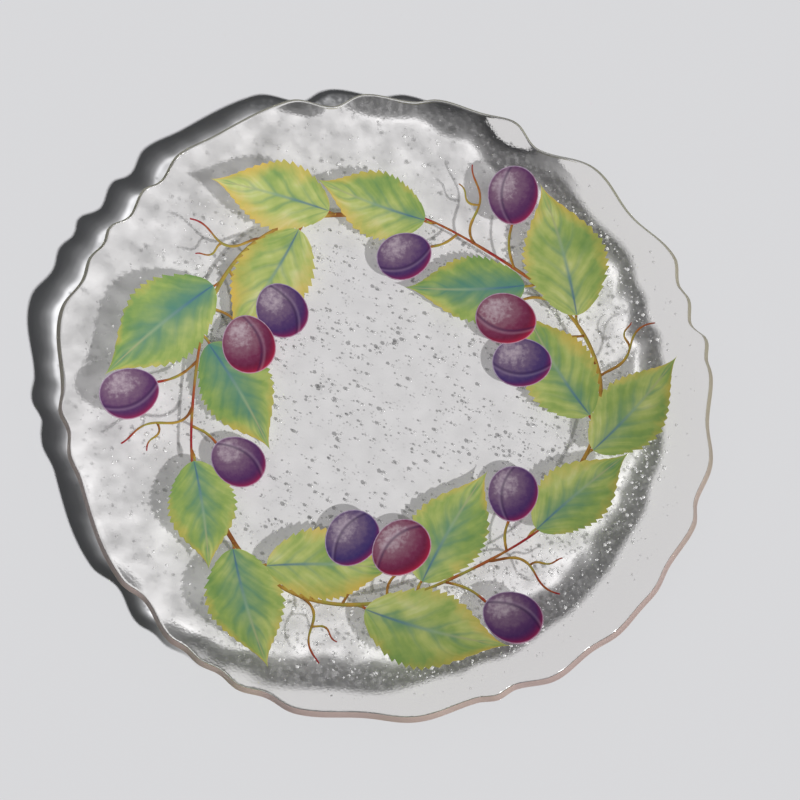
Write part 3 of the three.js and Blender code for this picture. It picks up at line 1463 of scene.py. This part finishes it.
@dataclass
class Sprig:
    """One third of the wreath: a twig with its leaves and plums, painted on the upper face.

    Fields in MM are lengths. The others are shares, counts, and turns in radians.
    """

    number: int
    start: float
    glass: bpy.types.Object
    leaf_grid: tuple[int, int] = (96, 12)
    leaf_width: float = 0.58
    leaf_belly: float = 0.80
    leaf_base: float = 0.72
    leaf_taper: float = 0.9
    leaf_teeth: int = 17
    tooth_depth: float = 0.13
    tooth_drift: float = 0.35
    tooth_waves: float = 9.0
    tooth_onset: float = 6.0
    leaf_stalk: float = 5 * MM
    leaf_lengths: tuple[float, float] = (0.95, 1.06)
    twig_width: float = 1.8 * MM
    twig_tip: float = 0.5
    twig_lead: float = 0.02
    twig_steps: int = 80
    stalk_width: float = 1.2 * MM
    leaf_stalk_tip: float = 0.9
    leaf_stalk_bow: float = 0.08
    leaf_stalk_reach: float = 1.3
    plum_stalk_tip: float = 0.85
    plum_stalk_bow: float = 0.1
    plum_stalk_inset: float = 0.42
    spur_width: float = 1.25 * MM
    spur_crook: float = 0.55
    spur_curl: float = 0.5
    spur_bends: float = 7.0
    fork_turn: float = 0.7
    fork_length: float = 0.4
    fork_width: float = 0.8
    knot_depth: float = 0.16
    knot_waves: tuple[float, float] = (31.0, 17.0)
    stroke_rows: int = 3
    lift_off: float = 1.5
    plum_sides: int = 72
    plum_rings: int = 7
    plum_width: float = 0.86
    plum_egg: float = 0.07
    plum_ripening: float = 0.15
    crease_bow: float = 0.42
    crease_place: float = 0.03
    above: float = 40 * MM
    random_seed: int = 100

    def __post_init__(self) -> None:
        """Sets up the twig's line and this sprig's own run of random draws."""
        self.path = TwigPath(self.start)
        self.draw = random.Random(self.random_seed + self.number)

    def new_grid(self, name: str, columns: int, rows: int) -> bpy.types.Object:
        """Adds a flat grid a unit across, with its own map.

        Args:
            name: the grid's name.
            columns: faces along it.
            rows: faces across it.

        Returns:
            The grid.
        """
        bpy.ops.object.select_all(action="DESELECT")
        bpy.ops.mesh.primitive_grid_add(
            x_subdivisions=columns, y_subdivisions=rows, size=1.0, calc_uvs=True
        )
        grid = bpy.context.active_object
        grid.name = name
        return grid

    def place_above(
        self, piece: bpy.types.Object, x: np.ndarray, y: np.ndarray, root: Vector, turn: float
    ) -> None:
        """Turns a flat outline and moves it to its place above the plate.

        Args:
            piece: the outline.
            x: each vertex's way along the outline's own axis.
            y: each vertex's way across it.
            root: where the axis starts, seen from above.
            turn: the axis's angle from +X.
        """
        flat = turn_flat(x, y, turn) + np.array([root.x, root.y])
        write_points(piece.data, np.column_stack([flat, np.full(len(flat), self.above)]))

    def lay_on_glass(self, piece: bpy.types.Object, height: float) -> None:
        """Drops a flat outline onto the plate's upper face and gives it the thickness of its film.

        Args:
            piece: the outline, above the plate.
            height: how far the film stands up from the glass.
        """
        drop = piece.modifiers.new("drop", "SHRINKWRAP")
        drop.wrap_method = "PROJECT"
        drop.use_project_z = True
        drop.use_negative_direction = True
        drop.use_positive_direction = False
        drop.target = self.glass
        film = piece.modifiers.new("film", "SOLIDIFY")
        film.thickness = height + FILM_SINK
        film.offset = 1.0 - 2.0 * FILM_SINK / film.thickness
        apply_modifiers(piece)

    def leaf_axis(self, place: LeafPlace) -> tuple[Vector, float]:
        """Gives the point where a leaf's blade starts and the angle of its midrib there."""
        turn = self.path.heading(place.share) + math.radians(place.turn)
        return self.path.point(place.share) + self.leaf_stalk * Vector((math.cos(turn), math.sin(turn))), turn

    def paint_leaf(self, place: LeafPlace, order: int) -> bpy.types.Object:
        """Paints one toothed, pointed leaf.

        Args:
            place: where the leaf grows and how long it is.
            order: its number on the twig, as later leaves lie over earlier ones.

        Returns:
            The leaf's film.
        """
        leaf = self.new_grid(f"leaf_{order}", *self.leaf_grid)
        grid = read_points(leaf.data)
        along = grid[:, 0] + 0.5
        across = grid[:, 1] * 2
        blade = np.sin(math.pi * along**self.leaf_belly) ** (self.leaf_base + self.leaf_taper * along)
        drift = self.tooth_drift * np.sin(self.tooth_waves * along + order)
        tooth = (along * self.leaf_teeth + drift) % 1.0 - 0.5
        onset = np.minimum(1.0, self.tooth_onset * along * (1 - along))
        sharpness = self.tooth_depth * onset * np.abs(across) ** 2
        length = place.length * self.draw.uniform(*self.leaf_lengths)
        x = along * length
        y = across * blade * (1 + sharpness * tooth) * length * self.leaf_width / 2
        root, turn = self.leaf_axis(place)
        self.place_above(leaf, x, y + place.bend * length * along**2, root, turn)
        write_attribute(leaf.data, "tone", np.full(len(x), self.draw.random()))
        self.lay_on_glass(leaf, Film.LEAF.value + COAT_STEP * order)
        return leaf

    def plum_axis(self, place: PlumPlace) -> tuple[Vector, float]:
        """Gives the middle of a plum and the angle from its stalk to its tip.

        Args:
            place: where the plum hangs.

        Returns:
            The middle, seen from above, and the angle from +X.
        """
        around = self.start + math.radians(place.angle)
        middle = place.radius * Vector((math.cos(around), math.sin(around)))
        hang = middle - self.path.point(place.share)
        return middle, math.atan2(hang.y, hang.x)

    def model_disc(self, name: str) -> bpy.types.Object:
        """Models the flat disc that a plum starts from, as rings round a point.

        Args:
            name: the disc's name.

        Returns:
            The disc, a unit in radius and facing up.
        """
        bpy.ops.object.select_all(action="DESELECT")
        bpy.ops.mesh.primitive_circle_add(
            vertices=self.plum_sides, radius=1.0, fill_type="NOTHING", calc_uvs=False
        )
        disc = bpy.context.active_object
        disc.name = name
        bpy.ops.object.mode_set(mode="EDIT")
        bpy.ops.mesh.select_all(action="SELECT")
        for left in range(self.plum_rings - 1, 0, -1):
            inner = left / (left + 1)
            bpy.ops.mesh.extrude_region_move()
            bpy.ops.transform.resize(value=(inner, inner, 1.0))
        bpy.ops.mesh.edge_face_add()
        bpy.ops.mesh.poke()
        bpy.ops.mesh.select_all(action="SELECT")
        bpy.ops.mesh.normals_make_consistent(inside=False)
        bpy.ops.object.mode_set(mode="OBJECT")
        if disc.data.polygons[0].normal.z < 0:
            disc.data.flip_normals()
        return disc

    def map_disc(self, mesh: bpy.types.Mesh, turn: float) -> None:
        """Gives a plum's disc its map, turned as the plum will lie, so that all plums are lit from one side.

        Args:
            mesh: the disc's mesh.
            turn: the angle from +X to the plum's tip.
        """
        disc = read_points(mesh)
        turned = turn_flat(disc[:, 0], disc[:, 1], turn)
        corners = np.empty(len(mesh.loops), dtype=np.int32)
        mesh.loops.foreach_get("vertex_index", corners)
        chart = mesh.uv_layers.new(name="UVMap")
        chart.data.foreach_set("uv", (0.5 + 0.5 * turned[corners]).astype(np.float32).ravel())

    def paint_plum(self, place: PlumPlace, order: int) -> bpy.types.Object:
        """Paints one egg-shaped plum with its crease.

        Args:
            place: where the plum hangs and how large it is.
            order: its number on the twig.

        Returns:
            The plum's film.
        """
        plum = self.model_disc(f"plum_{order}")
        disc = read_points(plum.data)
        along, across = disc[:, 0], disc[:, 1]
        middle, turn = self.plum_axis(place)
        drift = self.draw.uniform(-self.plum_ripening, self.plum_ripening)
        ripeness = min(1.0, max(0.0, place.ripeness + drift))
        write_attribute(plum.data, "tone", np.full(len(disc), ripeness))
        bow = self.crease_bow * (1 - along**2)
        write_attribute(plum.data, "crease", across - bow - self.crease_place)
        self.map_disc(plum.data, turn)
        half = place.length / 2
        egg = self.plum_width * (1 + self.plum_egg * along)
        self.place_above(plum, along * half, across * half * egg, middle, turn)
        self.lay_on_glass(plum, Film.FRUIT.value + COAT_STEP * order)
        return plum

    def paint_stroke(self, name: str, points: list[Vector], width: float, tip: float) -> bpy.types.Object:
        """Paints one long brush stroke along a line of points.

        Args:
            name: the stroke's name.
            points: the line that it follows, seen from above.
            width: its width where the brush comes down.
            tip: the share of that width that is left where the brush lifts.

        Returns:
            The stroke's film.
        """
        stroke = self.new_grid(name, len(points) - 1, self.stroke_rows)
        grid = read_points(stroke.data)
        line = np.array([tuple(p) for p in points])
        slope = np.gradient(line, axis=0)
        slope /= np.linalg.norm(slope, axis=1)[:, None]
        step = np.rint((grid[:, 0] + 0.5) * (len(points) - 1)).astype(int)
        share = step / (len(points) - 1)
        quick, slow = self.knot_waves
        knots = 1 + self.knot_depth * np.sin(share * quick + self.number) * np.sin(share * slow)
        half = width / 2 * (1 + (tip - 1) * share**self.lift_off) * knots
        side = np.column_stack([-slope[step, 1], slope[step, 0]])
        flat = line[step] + side * (grid[:, 1] * 2 * half)[:, None]
        write_points(stroke.data, np.column_stack([flat, np.full(len(step), self.above)]))
        write_attribute(stroke.data, "tone", np.full(len(step), self.draw.random()))
        self.lay_on_glass(stroke, Film.TWIG.value)
        return stroke

    def bowed_line(self, start: Vector, end: Vector, bow: float, steps: int = 12) -> list[Vector]:
        """Gives a line between two points that bows aside by a share of its length.

        Args:
            start: the first point.
            end: the last point.
            bow: the share.
            steps: stretches in the line.

        Returns:
            The points of the line, in order.
        """
        way = end - start
        side = Vector((-way.y, way.x)) * bow
        shares = [i / steps for i in range(steps + 1)]
        return [start.lerp(end, s) + side * math.sin(math.pi * s) for s in shares]

    def spur_line(self, start: Vector, turn: float, length: float, steps: int = 28) -> list[Vector]:
        """Gives the crooked line of a bare side twig.

        Args:
            start: the point that it grows from.
            turn: its angle from +X there, before it bends.
            length: its length along its bends.
            steps: stretches in the line.

        Returns:
            The points of the line, in order.
        """
        points = [start.copy()]
        crook = self.draw.uniform(0.0, FULL_TURN)
        for i in range(steps):
            bend = self.spur_crook * math.sin(crook + self.spur_bends * i / steps)
            angle = turn + bend - self.spur_curl * i / steps
            points.append(points[-1] + length / steps * Vector((math.cos(angle), math.sin(angle))))
        return points

    def paint_twigs(self) -> list[bpy.types.Object]:
        """Paints the main twig, the stalks of leaves and plums, and the forked bare side twigs.

        Returns:
            All their films.
        """
        main = [self.path.point(i / self.twig_steps - self.twig_lead) for i in range(self.twig_steps)]
        strokes = [self.paint_stroke("twig", main, self.twig_width, self.twig_tip)]
        for order, leaf in enumerate(LEAF_PLACES):
            foot = self.path.point(leaf.share)
            blade, _ = self.leaf_axis(leaf)
            line = self.bowed_line(foot, foot.lerp(blade, self.leaf_stalk_reach), self.leaf_stalk_bow)
            name = f"leaf_stalk_{order}"
            strokes.append(self.paint_stroke(name, line, self.stalk_width, self.leaf_stalk_tip))
        for order, plum in enumerate(PLUM_PLACES):
            foot = self.path.point(plum.share)
            middle, turn = self.plum_axis(plum)
            end = middle - Vector((math.cos(turn), math.sin(turn))) * plum.length * self.plum_stalk_inset
            line = self.bowed_line(foot, end, self.plum_stalk_bow)
            name = f"plum_stalk_{order}"
            strokes.append(self.paint_stroke(name, line, self.stalk_width, self.plum_stalk_tip))
        for order, spur in enumerate(SPUR_PLACES):
            turn = self.path.heading(spur.share) + math.radians(spur.turn)
            line = self.spur_line(self.path.point(spur.share), turn, spur.length)
            strokes.append(self.paint_stroke(f"spur_{order}", line, self.spur_width, self.twig_tip))
            half_way = line[len(line) // 2]
            fork = self.spur_line(half_way, turn + self.fork_turn, spur.length * self.fork_length)
            fork_width = self.spur_width * self.fork_width
            strokes.append(self.paint_stroke(f"fork_{order}", fork, fork_width, self.twig_tip))
        return strokes

    def build(self) -> dict[Slot, bpy.types.Object]:
        """Paints the sprig.

        Returns:
            Its twigs, leaves and plums, each joined into one piece, by material slot.
        """
        strokes = self.paint_twigs()
        leaves = [self.paint_leaf(place, order) for order, place in enumerate(LEAF_PLACES)]
        plums = [self.paint_plum(place, order) for order, place in enumerate(PLUM_PLACES)]
        return {
            Slot.TWIG: join_pieces(f"painted_twigs_{self.number}", strokes),
            Slot.LEAF: join_pieces(f"painted_leaves_{self.number}", leaves),
            Slot.FRUIT: join_pieces(f"painted_plums_{self.number}", plums),
        }


@dataclass
class Studio:
    """The stage: a pale floor, one key light low on the right, soft light all round, and the camera."""

    floor_size: float = 40.0
    floor_drop: float = 0.15 * MM
    floor_colour: str = "#dcdcde"
    floor_roughness: float = 0.9
    key_height: float = 44.5
    key_strength: float = 3.95
    key_softness: float = 2.2
    sky_strength: float = 0.09
    sky_colour: str = "#f4f6fa"
    camera_target: tuple[float, float, float] = (6.19 * MM, 2.91 * MM, 0.0)
    camera_angle: float = -90.0
    camera_height: float = 72.0
    camera_distance: float = 0.9
    lens: float = 96.33
    sensor: float = 36.0

    def build_floor(self) -> bpy.types.Object:
        """Lays a plain floor just under the plate's foot.

        Returns:
            The floor.
        """
        bpy.ops.object.select_all(action="DESELECT")
        bpy.ops.mesh.primitive_plane_add(size=self.floor_size)
        floor = bpy.context.active_object
        floor.name = "floor"
        write_points(floor.data, read_points(floor.data) - np.array([0.0, 0.0, self.floor_drop]))
        material, tree = new_material("white_table_matt")
        matt = {
            "Base Color": self.floor_colour,
            "Roughness": self.floor_roughness,
            "Specular IOR Level": 0.0,
        }
        add_node(tree, "OutputMaterial", {"Surface": add_node(tree, "BsdfPrincipled", matt)})
        floor.data.materials.append(material)
        return floor

    def build_lights(self) -> None:
        """Sets the key light and the even light of the room."""
        key = bpy.data.lights.new("key", "SUN")
        key.energy = self.key_strength
        key.angle = math.radians(self.key_softness)
        lamp = bpy.data.objects.new("key", key)
        bpy.context.scene.collection.objects.link(lamp)
        shine = -self.direction(KEY_ANGLE, self.key_height)
        lamp.rotation_euler = shine.to_track_quat("-Z", "Y").to_euler()
        sky = bpy.data.worlds.new("soft_room")
        sky.use_nodes = True
        sky.node_tree.nodes.clear()
        glow = {"Color": self.sky_colour, "Strength": self.sky_strength}
        background = add_node(sky.node_tree, "Background", glow)
        add_node(sky.node_tree, "OutputWorld", {"Surface": background})
        bpy.context.scene.world = sky

    def direction(self, angle: float, height: float) -> Vector:
        """Gives the unit vector towards an angle from +X and a height above the horizon, in degrees.

        Args:
            angle: the angle round the plate.
            height: the angle above the horizon.

        Returns:
            The unit vector.
        """
        level = math.cos(math.radians(height))
        turn = math.radians(angle)
        return Vector((level * math.cos(turn), level * math.sin(turn), math.sin(math.radians(height))))

    def build_camera(self) -> None:
        """Sets the camera at the photograph's angle, in front of the plate and high above it."""
        data = bpy.data.cameras.new("camera")
        data.lens = self.lens
        data.sensor_width = self.sensor
        camera = bpy.data.objects.new("camera", data)
        bpy.context.scene.collection.objects.link(camera)
        target = Vector(self.camera_target)
        towards_camera = self.direction(self.camera_angle, self.camera_height)
        camera.location = target + self.camera_distance * towards_camera
        camera.rotation_euler = (target - camera.location).to_track_quat("-Z", "Y").to_euler()
        bpy.context.scene.camera = camera

    def build(self) -> None:
        """Sets the whole stage."""
        self.build_camera()
        self.build_floor()
        self.build_lights()
        bpy.context.scene.view_settings.view_transform = "Standard"


def main() -> None:
    """Builds the plate, its wreath and the stage, and reports each piece."""
    logging.basicConfig(level=logging.INFO, format="%(name)s: %(message)s")
    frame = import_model()

    plate = GlassPlate(CutOutline.read(frame["nodes"][PLATE_NODE]))
    glass = plate.build()
    enamels = {
        Slot.LEAF: LeafEnamel().make(),
        Slot.FRUIT: PlumEnamel().make(),
        Slot.TWIG: TwigEnamel().make(),
    }
    painted = []
    for number in range(SPRIGS):
        sprig = Sprig(number, FIRST_SPRIG + FULL_TURN * number / SPRIGS, glass)
        for slot, piece in sprig.build().items():
            piece.data.materials.clear()
            piece.data.materials.append(enamels[slot])
            select_only(piece)
            bpy.ops.object.shade_smooth_by_angle(angle=SMOOTH_WITHIN)
            painted.append(piece)
    glasses = list(glass.data.materials)
    seeds = [Seeds(plate, glasses, group).build() for group in SEED_GROUPS]
    glass = join_pieces(glass.name, [glass, *seeds])
    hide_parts(PLATE_NODE)
    for piece in [glass, *painted]:
        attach(piece, BODY)
        LOG.info("%s: %d faces", piece.name, len(piece.data.polygons))

    Studio().build()
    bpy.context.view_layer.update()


if __name__ == "__main__":
    main()
